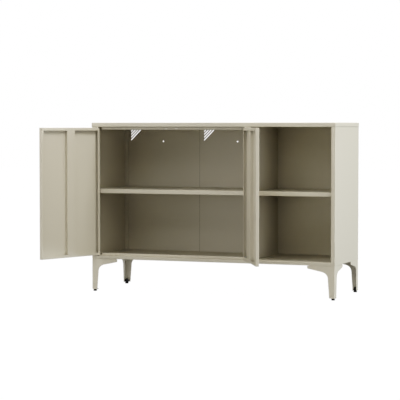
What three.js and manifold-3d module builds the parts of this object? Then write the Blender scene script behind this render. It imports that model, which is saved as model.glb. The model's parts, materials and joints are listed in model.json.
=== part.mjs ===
// A metal sideboard: folded steel carcass on four folded legs, a two-door bay on the left
// and an open bay on the right. Millimetres, +X right, +Y to the back, +Z up. The origin is on
// the floor, below the centre of the box that the cabinet and its open doors fill.
import * as THREE from "three";
import { mergeVertices } from "three/addons/utils/BufferGeometryUtils.js";
import { RoundedBoxGeometry } from "three/addons/geometries/RoundedBoxGeometry.js";
import Module from "manifold-3d";

const wasm = await Module();
wasm.setup();

// Driving dimensions. X runs from the left outer face, Y from the front plane, Z from the floor.
const WIDTH = 1200; // over the two side panels
const DEPTH = 400; // front flanges to the back sheets' rear face
const HEIGHT = 802; // floor to the top face
const MODULE = 400; // the bays are two modules and one module wide
const SHEET = 0.8; // carcass and door steel
const BEND = 1.4; // outer radius of a fold
const BEND_STEPS = 4; // faces round the bend of an upright or a rail
const PAN_STEPS = 2; // faces round the fold of a pan
const GAP = 0.3; // between pieces that touch

const CAP_HEIGHT = 19.5;
const CAP_PROUD = 1; // the top panel stands out past the carcass on every side
const CAP_LIP = 18; // width of the return under its skirt
const CAP_RADIUS = 2.2;

const BASE_Z = 155; // seam between the carcass and the legs
const FLOOR_Z = 170.5; // upper face of the bottom panel
const BASE_LIP = 15;

const FLANGE = 19; // front flange of each upright panel
const FLANGE_RETURN = 12;
const REAR_FLANGE = 15;
const CREASE_X = 8; // crease down the front flange, from its outer fold
const CREASE_WIDTH = 1;
const CREASE_DEPTH = 0.35;

const POST_Y = 391.2; // front face of the slotted posts in the left bay's back corners
const POST_WIDTH = 15;
const SLOT_COUNT = 10;
const SLOT_PITCH = 34.5;
const SLOT_MID_Z = 476.5;
const SLOT_WIDTH = 10;
const SLOT_HEIGHT = 4.5;
const POST_CLEAR = 2; // left free above and below each post

const RAIL_Y = 16; // the door rails stand this far behind the front plane
const RAIL_END = 44; // from the outer face of the bay to the rail's end
const RAIL_DEPTH = 18;
const TOP_RAIL_Z = 770;
const BOTTOM_RAIL_Z = 183;

const SHELF_TOP = 486.6;
const SHELF_HEIGHT = 19.1;
const SHELF_LIP = 14;
const LEFT_SHELF_Y = 18;
const RIGHT_SHELF_Y = 13;
const CLIP = { width: 11, reach: 16, drop: 12, thick: 1.2 };
const CLIP_FRONT = 30; // shelf's front edge to the front clips
const CLIP_REAR = 40;

const DOOR_GAP = 3; // flange to the door's hinge edge
const DOOR_WIDTH = 377;
const DOOR_THICK = 15;
const DOOR_LIP = 13;
const DOOR_BOTTOM = 173;
const DOOR_TOP = 778.5;
const STIFFENER = { crown: 50, flange: 11 };
const PIVOT_IN = 5.5; // hinge edge to the pin's axis
const PIVOT_BACK = 5; // outer face to the pin's axis
const LEFT_OPEN = 110.5; // degrees that the left door stands open
const RIGHT_OPEN = 117.5;
const PIN_R = 2.5;
const PIN_INSIDE = 14; // reach inside and outside the door's end wall
const PIN_OUTSIDE = 12;
const COLLAR = { r: 3.3, height: 2 };
const BUSH_R = 3.1;
const BUSH_HEIGHT = { top: 9, bottom: 8 };
const THRUST = { r: 4.2, top: 3.4, bottom: 1.9 }; // flange between the door and the panel

const CATCH = { offset: 14, width: 24, depth: 12, height: 7, nose: 14, proud: 0.4 };

const LEG_SHEET = 1.5;
const LEG_CORNER_R = 3;
const LEG_REACH = 130;
const LEG_FOOT_Z = 9;
const LEG_FOOT_WIDTH = 26;
const LEG_KNEE = [33, 100]; // distance from the corner, and height
const LEG_SWEEP_PULL = [36, 121];
const LEG_SWEEP_END = [60, 127.5];
const LEG_TIP = { back: 4, low: 141, corner: 142, high: 146 }; // rounded end of the shoulder
const LEG_PLATE = 62; // reach of the mounting plate at the leg's top
const LEG_SCREWS = [[46, 24], [24, 46]];
const SCREW = { r: 3, reach: 10, head: 5.5, headHeight: 3.5 };
const BRACKET = { edge: 4, far: 90, notch: 20, thick: 2 };
const FOOT_INSET = 10.5;
const FOOT_R = 8.5;
const STUD_R = 4;
const STUD_TOP = 24;
const PAD = { foot: 7.3, chamfer: 1.2, skirt: 5, top: 7 }; // profile of the levelling pad
const INSERT_WIDTH = 23; // square plate of the foot's insert
const BOSS = { foot: 7.4, top: 6.8, height: 23.5 };

const VENT = { top: 766, step: 14, shortest: 5.5, width: 4, count: 4 };
const ROUND_HOLE = { fromVent: 172, z: 711, r: 3.4 };
const VENT_X = [33, 421.7]; // lower ends of the two vents' slots
const BACK_SEAMS = [397, 792];
const BACK_EDGE = 0.5; // the back sheets stop this far inside the side panels

const COAT = new THREE.Color(0xc9c3b2);

// Materials of the pieces.
const painted = new THREE.MeshStandardMaterial({ color: COAT, roughness: 0.55, metalness: 0 });
const zinc = new THREE.MeshStandardMaterial({ color: 0xb9bcc0, roughness: 0.35, metalness: 1 });
const black = new THREE.MeshStandardMaterial({ color: 0x151515, roughness: 0.6, metalness: 0 });
const nylon = new THREE.MeshStandardMaterial({ color: 0xd8d5cc, roughness: 0.5, metalness: 0 });

// Geometry and solids.

function solid(geometry) {
  const plain = geometry.clone();
  for (const name of Object.keys(plain.attributes)) {
    if (name !== "position") plain.deleteAttribute(name);
  }
  const merged = mergeVertices(plain, 1e-4);
  const mesh = new wasm.Mesh({
    numProp: 3,
    vertProperties: new Float32Array(merged.attributes.position.array),
    triVerts: new Uint32Array(merged.index.array),
  });
  return new wasm.Manifold(mesh);
}

function geometryOf(manifold) {
  const { vertProperties, triVerts } = manifold.getMesh();
  const geometry = new THREE.BufferGeometry();
  geometry.setAttribute("position", new THREE.BufferAttribute(vertProperties, 3));
  geometry.setIndex(new THREE.BufferAttribute(triVerts, 1));
  geometry.computeVertexNormals();
  return geometry;
}

// A box from its low and high corners.
function block(low, high) {
  const size = high.map((value, i) => value - low[i]);
  const box = new THREE.BoxGeometry(...size);
  box.translate(...low.map((value, i) => value + size[i] / 2));
  return solid(box);
}

function roundedBlock(low, high, radius) {
  const size = high.map((value, i) => value - low[i]);
  const box = new RoundedBoxGeometry(...size, PAN_STEPS, radius);
  box.translate(...low.map((value, i) => value + size[i] / 2));
  return solid(box);
}

function rod(x, y, z0, z1, radius, sides = 16) {
  const cylinder = new THREE.CylinderGeometry(radius, radius, z1 - z0, sides);
  cylinder.rotateX(Math.PI / 2);
  cylinder.translate(x, y, (z0 + z1) / 2);
  return solid(cylinder);
}

// A round piece about a vertical axis, from [radius, z] points.
function turned(profile, x, y, sides = 20) {
  const points = profile.map(([r, z]) => new THREE.Vector2(r, z));
  const lathe = new THREE.LatheGeometry(points, sides);
  lathe.rotateX(Math.PI / 2);
  lathe.translate(x, y, 0);
  return solid(lathe);
}

// The outline of folded sheet in section: a centre line with round bends, given its thickness.
function foldedOutline(corners, thickness) {
  const radius = BEND - thickness / 2;
  const spine = [];
  const points = corners.map(([a, b]) => new THREE.Vector2(a, b));
  points.forEach((point, i) => {
    if (i === 0 || i === points.length - 1) {
      const near = points[i === 0 ? 1 : i - 1];
      const along = near.clone().sub(point).normalize();
      spine.push({ point, along: i === 0 ? along : along.negate() });
      return;
    }
    const into = point.clone().sub(points[i - 1]).normalize();
    const out = points[i + 1].clone().sub(point).normalize();
    const turn = Math.atan2(into.cross(out), into.dot(out));
    const start = point.clone().addScaledVector(into, -radius * Math.tan(Math.abs(turn) / 2));
    const side = new THREE.Vector2(-into.y, into.x).multiplyScalar(Math.sign(turn) * radius);
    const centre = start.clone().add(side);
    for (let k = 0; k <= BEND_STEPS; k += 1) {
      const angle = (turn * k) / BEND_STEPS;
      const arm = start.clone().sub(centre).rotateAround(new THREE.Vector2(), angle);
      const along = into.clone().rotateAround(new THREE.Vector2(), angle);
      spine.push({ point: centre.clone().add(arm), along });
    }
  });
  const offset = (sign) => ({ point, along }) =>
    new THREE.Vector2(-along.y, along.x).multiplyScalar((sign * thickness) / 2).add(point);
  return new THREE.Shape([...spine.map(offset(1)), ...spine.map(offset(-1)).reverse()]);
}

function extruded(shape, depth, curveSegments = 6) {
  return new THREE.ExtrudeGeometry(shape, { depth, bevelEnabled: false, curveSegments });
}

// Folded sheet whose section lies in plan and runs upwards from z0 to z1.
function uprightSheet(corners, z0, z1, thickness = SHEET) {
  return solid(extruded(foldedOutline(corners, thickness), z1 - z0).translate(0, 0, z0));
}

// A shape drawn in Y and Z, run along X from x0.
function alongX(shape, x0, length) {
  const basis = new THREE.Matrix4().makeBasis(
    new THREE.Vector3(0, 1, 0), new THREE.Vector3(0, 0, 1), new THREE.Vector3(1, 0, 0));
  return solid(extruded(shape, length).applyMatrix4(basis).translate(x0, 0, 0));
}

// A shape drawn in X and Z, run back along Y from y0.
function alongY(shape, y0, length, curveSegments = 6) {
  const geometry = extruded(shape, length, curveSegments).rotateX(Math.PI / 2);
  return solid(geometry.translate(0, y0 + length, 0));
}

// A folded pan: a hollow box of sheet with its axis side (0, 1 or 2) opened up to a lip all round.
function pan(low, high, { axis, open, lip, radius = BEND }) {
  const inner = [low.map((v) => v + SHEET), high.map((v) => v - SHEET)];
  const window = [low.map((v) => v + lip), high.map((v) => v - lip)];
  window[0][axis] = open > 0 ? high[axis] - 2 * SHEET : low[axis] - SHEET;
  window[1][axis] = open > 0 ? high[axis] + SHEET : low[axis] + 2 * SHEET;
  return roundedBlock(low, high, radius).subtract(block(...inner)).subtract(block(...window));
}

function mesh(name, shape, material) {
  const made = new THREE.Mesh(geometryOf(shape), material);
  made.name = name;
  return made;
}

// Upright panels.

const carcassTop = HEIGHT - CAP_HEIGHT - GAP;
const rearFlangeY = DEPTH - SHEET - GAP - SHEET / 2;

// Section of a side panel whose outer face is at x = 0 and whose flanges run towards +X.
function panelSection() {
  const inner = FLANGE - SHEET / 2;
  const web = SHEET / 2;
  return [[inner, FLANGE_RETURN], [inner, web], [web, web], [web, rearFlangeY],
    [REAR_FLANGE, rearFlangeY]];
}

function uprightPanel(bottom) {
  const crease = block(
    [CREASE_X - CREASE_WIDTH / 2, -SHEET, bottom - SHEET],
    [CREASE_X + CREASE_WIDTH / 2, CREASE_DEPTH, carcassTop + SHEET]);
  return uprightSheet(panelSection(), bottom, carcassTop).subtract(crease);
}

function sidePanels() {
  const left = mesh("left_side_panel", uprightPanel(BASE_Z + GAP), painted);
  const right = mesh("right_side_panel", uprightPanel(BASE_Z + GAP), painted);
  right.scale.x = -1;
  right.position.x = WIDTH;
  return [left, right];
}

// The divider is the left bay's right-hand panel, with its flanges towards the doors.
function dividerPanel() {
  const divider = mesh("divider_panel", uprightPanel(FLOOR_Z + GAP), painted);
  divider.scale.x = -1;
  divider.position.x = 2 * MODULE;
  return divider;
}

// Slotted angles in the left bay's back corners, which the shelf's rear clips hook into.
function slottedPost(name) {
  const x0 = SHEET + GAP;
  const spineX = x0 + POST_WIDTH - SHEET / 2;
  const spineY = POST_Y + SHEET / 2;
  const section = [[x0, spineY], [spineX, spineY], [spineX, rearFlangeY - SHEET]];
  let post = uprightSheet(section, FLOOR_Z + POST_CLEAR, carcassTop - POST_CLEAR);
  const middle = x0 + POST_WIDTH / 2;
  for (let i = 0; i < SLOT_COUNT; i += 1) {
    const z = SLOT_MID_Z + (i - (SLOT_COUNT - 1) / 2) * SLOT_PITCH;
    post = post.subtract(block(
      [middle - SLOT_WIDTH / 2, POST_Y - 1, z - SLOT_HEIGHT / 2],
      [middle + SLOT_WIDTH / 2, POST_Y + 2, z + SLOT_HEIGHT / 2]));
  }
  return mesh(name, post, painted);
}

function slottedPosts() {
  const left = slottedPost("slotted_post_left");
  const right = slottedPost("slotted_post_right");
  right.scale.x = -1;
  right.position.x = 2 * MODULE;
  return [left, right];
}

// Top, bottom and back.

const pivotX = FLANGE + DOOR_GAP + PIVOT_IN;
const pivots = [pivotX, 2 * MODULE - pivotX];

function topPanel() {
  const low = [-CAP_PROUD, -CAP_PROUD, HEIGHT - CAP_HEIGHT];
  const high = [WIDTH + CAP_PROUD, DEPTH + CAP_PROUD, HEIGHT];
  let panel = pan(low, high, { axis: 2, open: -1, lip: CAP_LIP, radius: CAP_RADIUS });
  for (const x of pivots) {
    panel = panel.subtract(rod(x, PIVOT_BACK, low[2] - 2, low[2] + 2, BUSH_R + GAP));
  }
  return mesh("top_panel", panel, painted);
}

function bottomPanel() {
  const x0 = SHEET + GAP;
  const low = [x0, 0, BASE_Z + GAP];
  const high = [WIDTH - x0, rearFlangeY - SHEET, FLOOR_Z];
  let panel = pan(low, high, { axis: 2, open: -1, lip: BASE_LIP });
  const notch = [FLANGE + GAP, FLANGE_RETURN + GAP];
  for (const x of [0, WIDTH - notch[0]]) {
    panel = panel.subtract(block([x, -1, BASE_Z], [x + notch[0], notch[1], FLOOR_Z + 1]));
  }
  for (const x of pivots) {
    panel = panel.subtract(rod(x, PIVOT_BACK, FLOOR_Z - 2, FLOOR_Z + 1, BUSH_R + GAP));
  }
  return mesh("bottom_panel", panel, painted);
}

const throughBack = [DEPTH - SHEET - 2, SHEET + 4]; // start and length of a cut in a back sheet

// One slanting vent slot with round ends, drawn in X and Z.
function ventSlot(x, z, rise) {
  const r = VENT.width / 2;
  const slope = Math.PI / 4;
  const shape = new THREE.Shape();
  shape.absarc(x, z, r, slope + Math.PI / 2, slope + (3 * Math.PI) / 2, false);
  shape.absarc(x + rise, z + rise, r, slope - Math.PI / 2, slope + Math.PI / 2, false);
  return alongY(shape, ...throughBack, 5);
}

// The vent is a triangle of slots that start on one line and end at one height.
function backSheet(name, x0, x1, ventX) {
  let sheet = block([x0, DEPTH - SHEET, BASE_Z + 1], [x1, DEPTH, carcassTop - 1]);
  if (ventX !== undefined) {
    for (let i = 0; i < VENT.count; i += 1) {
      const rise = VENT.shortest + i * VENT.step;
      sheet = sheet.subtract(ventSlot(ventX, VENT.top - rise, rise));
    }
    const x = ventX + ROUND_HOLE.fromVent;
    const round = new THREE.Shape().absarc(x, ROUND_HOLE.z, ROUND_HOLE.r, 0, 2 * Math.PI);
    sheet = sheet.subtract(alongY(round, ...throughBack, 8));
  }
  return mesh(name, sheet, painted);
}

function backSheets() {
  const edges = [BACK_EDGE - GAP / 2, ...BACK_SEAMS, WIDTH - BACK_EDGE + GAP / 2];
  return ["left", "middle", "right"].map((place, i) => backSheet(
    `back_sheet_${place}`, edges[i] + GAP / 2, edges[i + 1] - GAP / 2, VENT_X[i]));
}

// Rails that the doors close against.

function doorRails() {
  const y = RAIL_Y + SHEET / 2;
  const back = RAIL_Y + RAIL_DEPTH;
  const length = 2 * MODULE - 2 * RAIL_END;
  const upper = carcassTop - SHEET / 2;
  const lower = FLOOR_Z + GAP + SHEET / 2;
  const topSection = foldedOutline([[y, TOP_RAIL_Z], [y, upper], [back, upper]], SHEET);
  const bottomSection = foldedOutline([[y, BOTTOM_RAIL_Z], [y, lower], [back, lower]], SHEET);
  let top = alongX(topSection, RAIL_END, length);
  for (const x of catchCentres()) {
    top = top.subtract(block(
      [x - CATCH.nose / 2 - GAP, RAIL_Y - 1, TOP_RAIL_Z + 2],
      [x + CATCH.nose / 2 + GAP, RAIL_Y + SHEET + 1, TOP_RAIL_Z + CATCH.height]));
  }
  return [
    mesh("top_door_rail", top, painted),
    mesh("bottom_door_rail", alongX(bottomSection, RAIL_END, length), painted),
  ];
}

function catchCentres() {
  return [MODULE - CATCH.offset - CATCH.width / 2, MODULE + CATCH.offset + CATCH.width / 2];
}

// A magnet in a plastic body behind the rail, with its pole through the rail's window.
function magneticCatches() {
  return catchCentres().map((x, i) => {
    const bodyY = RAIL_Y + SHEET + GAP;
    const body = block(
      [x - CATCH.width / 2, bodyY, TOP_RAIL_Z + 1],
      [x + CATCH.width / 2, bodyY + CATCH.depth, TOP_RAIL_Z + 1 + CATCH.height]);
    const nose = block(
      [x - CATCH.nose / 2, RAIL_Y - CATCH.proud, TOP_RAIL_Z + 2 + GAP],
      [x + CATCH.nose / 2, bodyY + 1, TOP_RAIL_Z + CATCH.height - GAP]);
    return mesh(`magnetic_catch_${i === 0 ? "left" : "right"}`, body.add(nose), nylon);
  });
}

// Shelves and their clips.

const shelves = [
  { side: "left", x0: SHEET + 1, x1: 2 * MODULE - SHEET - 1, y0: LEFT_SHELF_Y, y1: POST_Y - 1 },
  { side: "right", x0: 2 * MODULE + 1, x1: WIDTH - SHEET - 1, y0: RIGHT_SHELF_Y, y1: POST_Y - 1 },
];

function shelf({ side, x0, x1, y0, y1 }) {
  const shape = pan([x0, y0, SHELF_TOP - SHELF_HEIGHT], [x1, y1, SHELF_TOP],
    { axis: 2, open: -1, lip: SHELF_LIP });
  return mesh(`shelf_${side}`, shape, painted);
}

// An angle under the shelf's lip, with its tongue up the wall inside the pan's clearance.
function shelfClips({ side, x0, x1, y0, y1 }) {
  const top = SHELF_TOP - SHELF_HEIGHT - GAP;
  const places = [["front_left", x0, 1, y0 + CLIP_FRONT], ["front_right", x1, -1, y0 + CLIP_FRONT],
    ["rear_left", x0, 1, y1 - CLIP_REAR], ["rear_right", x1, -1, y1 - CLIP_REAR]];
  return places.map(([place, x, way, y]) => {
    const seat = block([0, 0, top - CLIP.thick], [CLIP.reach, CLIP.width, top]);
    const tab = block([0, 0, top - CLIP.drop], [CLIP.thick, CLIP.width, top]);
    const clip = mesh(`shelf_clip_${side}_${place}`, seat.add(tab), zinc);
    clip.scale.x = way;
    clip.position.set(x, y, 0);
    return clip;
  });
}

// Doors. Each is built closed, about its pivot, and then turned open.

function doorPan(width) {
  const x0 = -PIVOT_IN;
  const y0 = -PIVOT_BACK;
  let shape = pan([x0, y0, DOOR_BOTTOM], [x0 + width, y0 + DOOR_THICK, DOOR_TOP],
    { axis: 1, open: 1, lip: DOOR_LIP });
  for (const z of [DOOR_BOTTOM, DOOR_TOP]) {
    shape = shape.subtract(rod(0, 0, z - 2, z + 2, PIN_R + GAP));
  }
  return shape;
}

// A hat section between the upper and lower lips, with its crown level with them.
function doorStiffener(width) {
  const middle = width / 2 - PIVOT_IN;
  const face = SHEET + GAP + SHEET / 2 - PIVOT_BACK;
  const crown = DOOR_THICK - SHEET / 2 - PIVOT_BACK;
  const half = STIFFENER.crown / 2 - SHEET / 2;
  const foot = half + STIFFENER.flange;
  const section = [[middle - foot, face], [middle - half, face], [middle - half, crown],
    [middle + half, crown], [middle + half, face], [middle + foot, face]];
  return uprightSheet(section, DOOR_BOTTOM + DOOR_LIP + GAP, DOOR_TOP - DOOR_LIP - GAP);
}

// A headed pin held under the door's end wall, reaching into its bush.
function hingePin(wall, out) {
  const inner = wall - out * PIN_INSIDE;
  const outer = wall + out * PIN_OUTSIDE;
  const head = wall - out * (SHEET + GAP);
  const collar = [head, head - out * COLLAR.height].sort((a, b) => a - b);
  const shaft = [inner, outer].sort((a, b) => a - b);
  return rod(0, 0, ...shaft, PIN_R).add(rod(0, 0, ...collar, COLLAR.r));
}

function door(side) {
  const hand = side === "left" ? 1 : -1;
  const group = new THREE.Group();
  group.add(
    mesh(`${side}_door_pan`, doorPan(DOOR_WIDTH), painted),
    mesh(`${side}_door_stiffener`, doorStiffener(DOOR_WIDTH), painted),
    mesh(`${side}_door_top_pin`, hingePin(DOOR_TOP, 1), zinc),
    mesh(`${side}_door_bottom_pin`, hingePin(DOOR_BOTTOM, -1), zinc));
  const open = side === "left" ? LEFT_OPEN : RIGHT_OPEN;
  group.position.set(side === "left" ? pivots[0] : pivots[1], PIVOT_BACK, 0);
  group.rotation.z = THREE.MathUtils.degToRad(-hand * open);
  group.scale.x = hand;
  return group;
}

// Nylon bushes in the top and bottom panels, each with a thrust flange towards the door.
function hingeBushes() {
  const bore = PIN_R + GAP;
  const topZ = HEIGHT - CAP_HEIGHT - GAP;
  const topEnds = [topZ - THRUST.top, topZ + BUSH_HEIGHT.top];
  const topProfile = [[bore, topEnds[0]], [THRUST.r, topEnds[0]], [THRUST.r, topZ],
    [BUSH_R, topZ], [BUSH_R, topEnds[1]], [bore, topEnds[1]], [bore, topEnds[0]]];
  const lowZ = FLOOR_Z + GAP;
  const lowEnds = [lowZ - BUSH_HEIGHT.bottom, lowZ + THRUST.bottom];
  const lowProfile = [[bore, lowEnds[0]], [BUSH_R, lowEnds[0]], [BUSH_R, lowZ], [THRUST.r, lowZ],
    [THRUST.r, lowEnds[1]], [bore, lowEnds[1]], [bore, lowEnds[0]]];
  return pivots.flatMap((x, i) => {
    const side = i === 0 ? "left" : "right";
    return [
      mesh(`hinge_bush_${side}_top`, turned(topProfile, x, PIVOT_BACK), nylon),
      mesh(`hinge_bush_${side}_bottom`, turned(lowProfile, x, PIVOT_BACK), nylon),
    ];
  });
}

// Legs. The front left one is built at the origin corner and mirrored to the others.

// One face of a leg: a shoulder under the carcass that sweeps down into a tapered shank.
function legFace() {
  const shape = new THREE.Shape();
  shape.moveTo(0, LEG_FOOT_Z);
  shape.lineTo(LEG_FOOT_WIDTH, LEG_FOOT_Z);
  shape.lineTo(...LEG_KNEE);
  shape.quadraticCurveTo(...LEG_SWEEP_PULL, ...LEG_SWEEP_END);
  shape.lineTo(LEG_REACH - LEG_TIP.back, LEG_TIP.low);
  shape.quadraticCurveTo(LEG_REACH, LEG_TIP.corner, LEG_REACH, LEG_TIP.high);
  shape.lineTo(LEG_REACH, BASE_Z);
  shape.lineTo(0, BASE_Z);
  return shape;
}

function legShell() {
  const front = alongY(legFace(), 0, LEG_SHEET, 10);
  const side = alongX(legFace(), 0, LEG_SHEET);
  const corner = new THREE.Shape();
  const r = LEG_CORNER_R;
  corner.moveTo(r, 0);
  corner.lineTo(2 * LEG_REACH, 0);
  corner.lineTo(2 * LEG_REACH, 2 * LEG_REACH);
  corner.lineTo(0, 2 * LEG_REACH);
  corner.lineTo(0, r);
  corner.absarc(r, r, r, Math.PI, 1.5 * Math.PI, false);
  return front.add(side).intersect(solid(extruded(corner, HEIGHT, 5)));
}

function leg() {
  const inside = LEG_SHEET - 0.2;
  const plate = new THREE.Shape();
  plate.moveTo(inside, inside);
  plate.lineTo(LEG_PLATE, inside);
  plate.lineTo(LEG_PLATE, LEG_PLATE / 2);
  plate.lineTo(LEG_PLATE / 2, LEG_PLATE);
  plate.lineTo(inside, LEG_PLATE);
  const top = solid(extruded(plate, LEG_SHEET).translate(0, 0, BASE_Z - LEG_SHEET));
  let shape = legShell().add(top);
  for (const [x, y] of LEG_SCREWS) {
    shape = shape.subtract(rod(x, y, BASE_Z - 5, BASE_Z + 5, SCREW.r + GAP));
  }
  return shape;
}

// A plate on the bottom panel's lips that the leg's screws pull against.
function legBracket() {
  const z = BASE_Z + GAP + SHEET + GAP;
  const low = FLANGE + 2;
  const top = z + BRACKET.thick;
  let shape = block([low, low, z], [BRACKET.far, BRACKET.far, top]);
  shape = shape.add(block([BRACKET.edge, low + BRACKET.notch, z], [low + 1, BRACKET.far, top]));
  for (const [x, y] of LEG_SCREWS) {
    shape = shape.subtract(rod(x, y, z - 1, top + 1, SCREW.r + GAP));
  }
  return shape;
}

function legScrew([x, y]) {
  const under = BASE_Z - LEG_SHEET - GAP;
  const shank = rod(x, y, under - GAP, under + SCREW.reach, SCREW.r);
  return shank.add(rod(x, y, under - SCREW.headHeight, under, SCREW.head));
}

// A moulded insert in the leg's lower end: a square plate and a boss that the foot screws into.
function footSocket() {
  const inside = LEG_SHEET + GAP;
  const plate = block(
    [inside, inside, LEG_FOOT_Z], [INSERT_WIDTH, INSERT_WIDTH, LEG_FOOT_Z + LEG_SHEET]);
  const z = LEG_FOOT_Z + LEG_SHEET / 2;
  const boss = turned([[0, z], [BOSS.foot, z], [BOSS.top, BOSS.height], [0, BOSS.height]],
    FOOT_INSET, FOOT_INSET);
  const bore = rod(FOOT_INSET, FOOT_INSET, 0, 2 * BOSS.height, STUD_R + GAP);
  return plate.add(boss).subtract(bore);
}

// A levelling foot screwed right home: a pad that meets the floor, and its stud.
function levellingFoot() {
  const padTop = LEG_FOOT_Z - GAP;
  const profile = [[0, 0], [PAD.foot, 0], [FOOT_R, PAD.chamfer], [FOOT_R, PAD.skirt],
    [PAD.top, padTop], [STUD_R, padTop], [STUD_R, STUD_TOP], [0, STUD_TOP]];
  return turned(profile, FOOT_INSET, FOOT_INSET);
}

function legSet(end, side) {
  const place = `${end}_${side}`;
  const group = new THREE.Group();
  group.add(
    mesh(`leg_${place}`, leg(), painted),
    mesh(`leg_bracket_${place}`, legBracket(), zinc),
    mesh(`foot_socket_${place}`, footSocket(), black),
    mesh(`levelling_foot_${place}`, levellingFoot(), black),
    ...LEG_SCREWS.map((at, i) => mesh(`leg_screw_${place}_${i + 1}`, legScrew(at), zinc)));
  group.position.set(side === "left" ? 0 : WIDTH, end === "front" ? 0 : DEPTH, 0);
  group.scale.set(side === "left" ? 1 : -1, end === "front" ? 1 : -1, 1);
  return group;
}

// Where a door's corner stands when it is open, from the left outer face and the front plane.
function openCorner(side, along, back) {
  const angle = THREE.MathUtils.degToRad(side === "left" ? LEFT_OPEN : RIGHT_OPEN);
  const dx = along - PIVOT_IN;
  const dy = back - PIVOT_BACK;
  const out = dx * Math.cos(angle) + dy * Math.sin(angle);
  const forward = dx * Math.sin(angle) - dy * Math.cos(angle);
  return [side === "left" ? pivots[0] + out : pivots[1] - out, PIVOT_BACK - forward];
}

// The origin is below the centre of the box around the carcass and the open doors.
function originOffset() {
  const lowX = openCorner("left", DOOR_WIDTH, 0)[0];
  const lowY = openCorner("left", DOOR_WIDTH, DOOR_THICK)[1];
  return [(lowX + WIDTH + CAP_PROUD) / 2, (lowY + DEPTH + CAP_PROUD) / 2];
}

const group = new THREE.Group();
group.add(topPanel(), bottomPanel(), ...sidePanels(), dividerPanel(), ...slottedPosts());
group.add(...backSheets(), ...doorRails(), ...magneticCatches());
group.add(...shelves.map(shelf), ...shelves.flatMap(shelfClips));
group.add(door("left"), door("right"), ...hingeBushes());
for (const end of ["front", "rear"]) {
  for (const side of ["left", "right"]) group.add(legSet(end, side));
}
const [originX, originY] = originOffset();
group.position.set(-originX, -originY, 0);

export default group;
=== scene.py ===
"""Metal sideboard: the finished look of the folded steel cabinet, its doors, legs and feet."""

import json
import math

import bmesh
import bpy
from bpy.props import FloatProperty, FloatVectorProperty, IntProperty, PointerProperty
from mathutils import Matrix, Vector


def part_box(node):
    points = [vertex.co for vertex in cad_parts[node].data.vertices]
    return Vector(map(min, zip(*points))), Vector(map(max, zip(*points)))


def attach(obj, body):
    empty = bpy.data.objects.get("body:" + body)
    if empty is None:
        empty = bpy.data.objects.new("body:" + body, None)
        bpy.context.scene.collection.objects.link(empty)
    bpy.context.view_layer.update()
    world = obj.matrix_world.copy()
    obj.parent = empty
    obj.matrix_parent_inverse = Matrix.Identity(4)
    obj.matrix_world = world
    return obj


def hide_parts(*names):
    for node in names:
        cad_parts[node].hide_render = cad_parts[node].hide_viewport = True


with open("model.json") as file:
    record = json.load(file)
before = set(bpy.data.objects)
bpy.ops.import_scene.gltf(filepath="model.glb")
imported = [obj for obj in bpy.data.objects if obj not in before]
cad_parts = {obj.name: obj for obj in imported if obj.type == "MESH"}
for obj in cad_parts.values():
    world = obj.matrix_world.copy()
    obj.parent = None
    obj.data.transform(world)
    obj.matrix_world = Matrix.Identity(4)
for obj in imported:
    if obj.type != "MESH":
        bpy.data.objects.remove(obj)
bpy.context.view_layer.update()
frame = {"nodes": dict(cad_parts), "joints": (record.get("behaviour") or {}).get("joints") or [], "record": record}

bl_info = {
    "name": "Metal Sideboard",
    "version": (1, 0, 0),
    "blender": (4, 5, 0),
    "location": "3D View > Sidebar > Sideboard",
    "description": "Builds a powder-coated metal sideboard around its packed frame",
    "category": "Object",
}

MM = 0.001
HAIR = 0.005 * MM  # between pieces that look as though they touch
JOINTS = {joint["child"]: joint for joint in frame["joints"]}
SIDES = ("left", "right")
ENDS = ("front", "rear")
UP = Vector((0, 0, 1))
BUSH_RADIUS = 3.1 * MM
BUSH_BORE = 2.75 * MM
PIN_RADIUS = 2.5 * MM
STUD_RADIUS = 4 * MM
INSERT_BORE = 4.3 * MM
SCREW_SHANK = 3 * MM
POST_RIVET_HEIGHTS = (750 * MM, 692 * MM, 264 * MM, 205 * MM)
TOP_LIP_RIVETS = (20 * MM, 59 * MM, 82 * MM)  # from the door's free edge
BOTTOM_LIP_RIVETS = (20 * MM,)


# Settings that a user would change.

class CoatSettings(bpy.types.PropertyGroup):
    """Colours and finishes of the cabinet's materials."""

    colour: FloatVectorProperty(
        name="Coat", description="Colour of the powder coat", subtype="COLOR",
        default=(0.60, 0.553, 0.45), min=0, max=1)
    roughness: FloatProperty(
        name="Roughness", description="How matt the powder coat is", subtype="FACTOR",
        default=0.46, min=0, max=1)
    grain: FloatProperty(
        name="Grain", description="Width of the coat's orange-peel ripples", unit="LENGTH",
        default=1.1 * MM, min=0.1 * MM)
    grain_depth: FloatProperty(
        name="Grain Depth", description="Height of the coat's ripples", unit="LENGTH",
        default=0.006 * MM, min=0)
    tone: FloatProperty(
        name="Tone", description="Share by which the coat's tone drifts over a panel",
        subtype="FACTOR", default=0.03, min=0, max=0.3)
    zinc: FloatVectorProperty(
        name="Zinc", description="Colour of the zinc-plated steel", subtype="COLOR",
        default=(0.62, 0.63, 0.64), min=0, max=1)
    black: FloatVectorProperty(
        name="Black Plastic", description="Colour of the feet and their sockets",
        subtype="COLOR", default=(0.018, 0.018, 0.019), min=0, max=1)
    nylon: FloatVectorProperty(
        name="Nylon", description="Colour of the hinge bushes", subtype="COLOR",
        default=(0.72, 0.70, 0.63), min=0, max=1)


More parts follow.
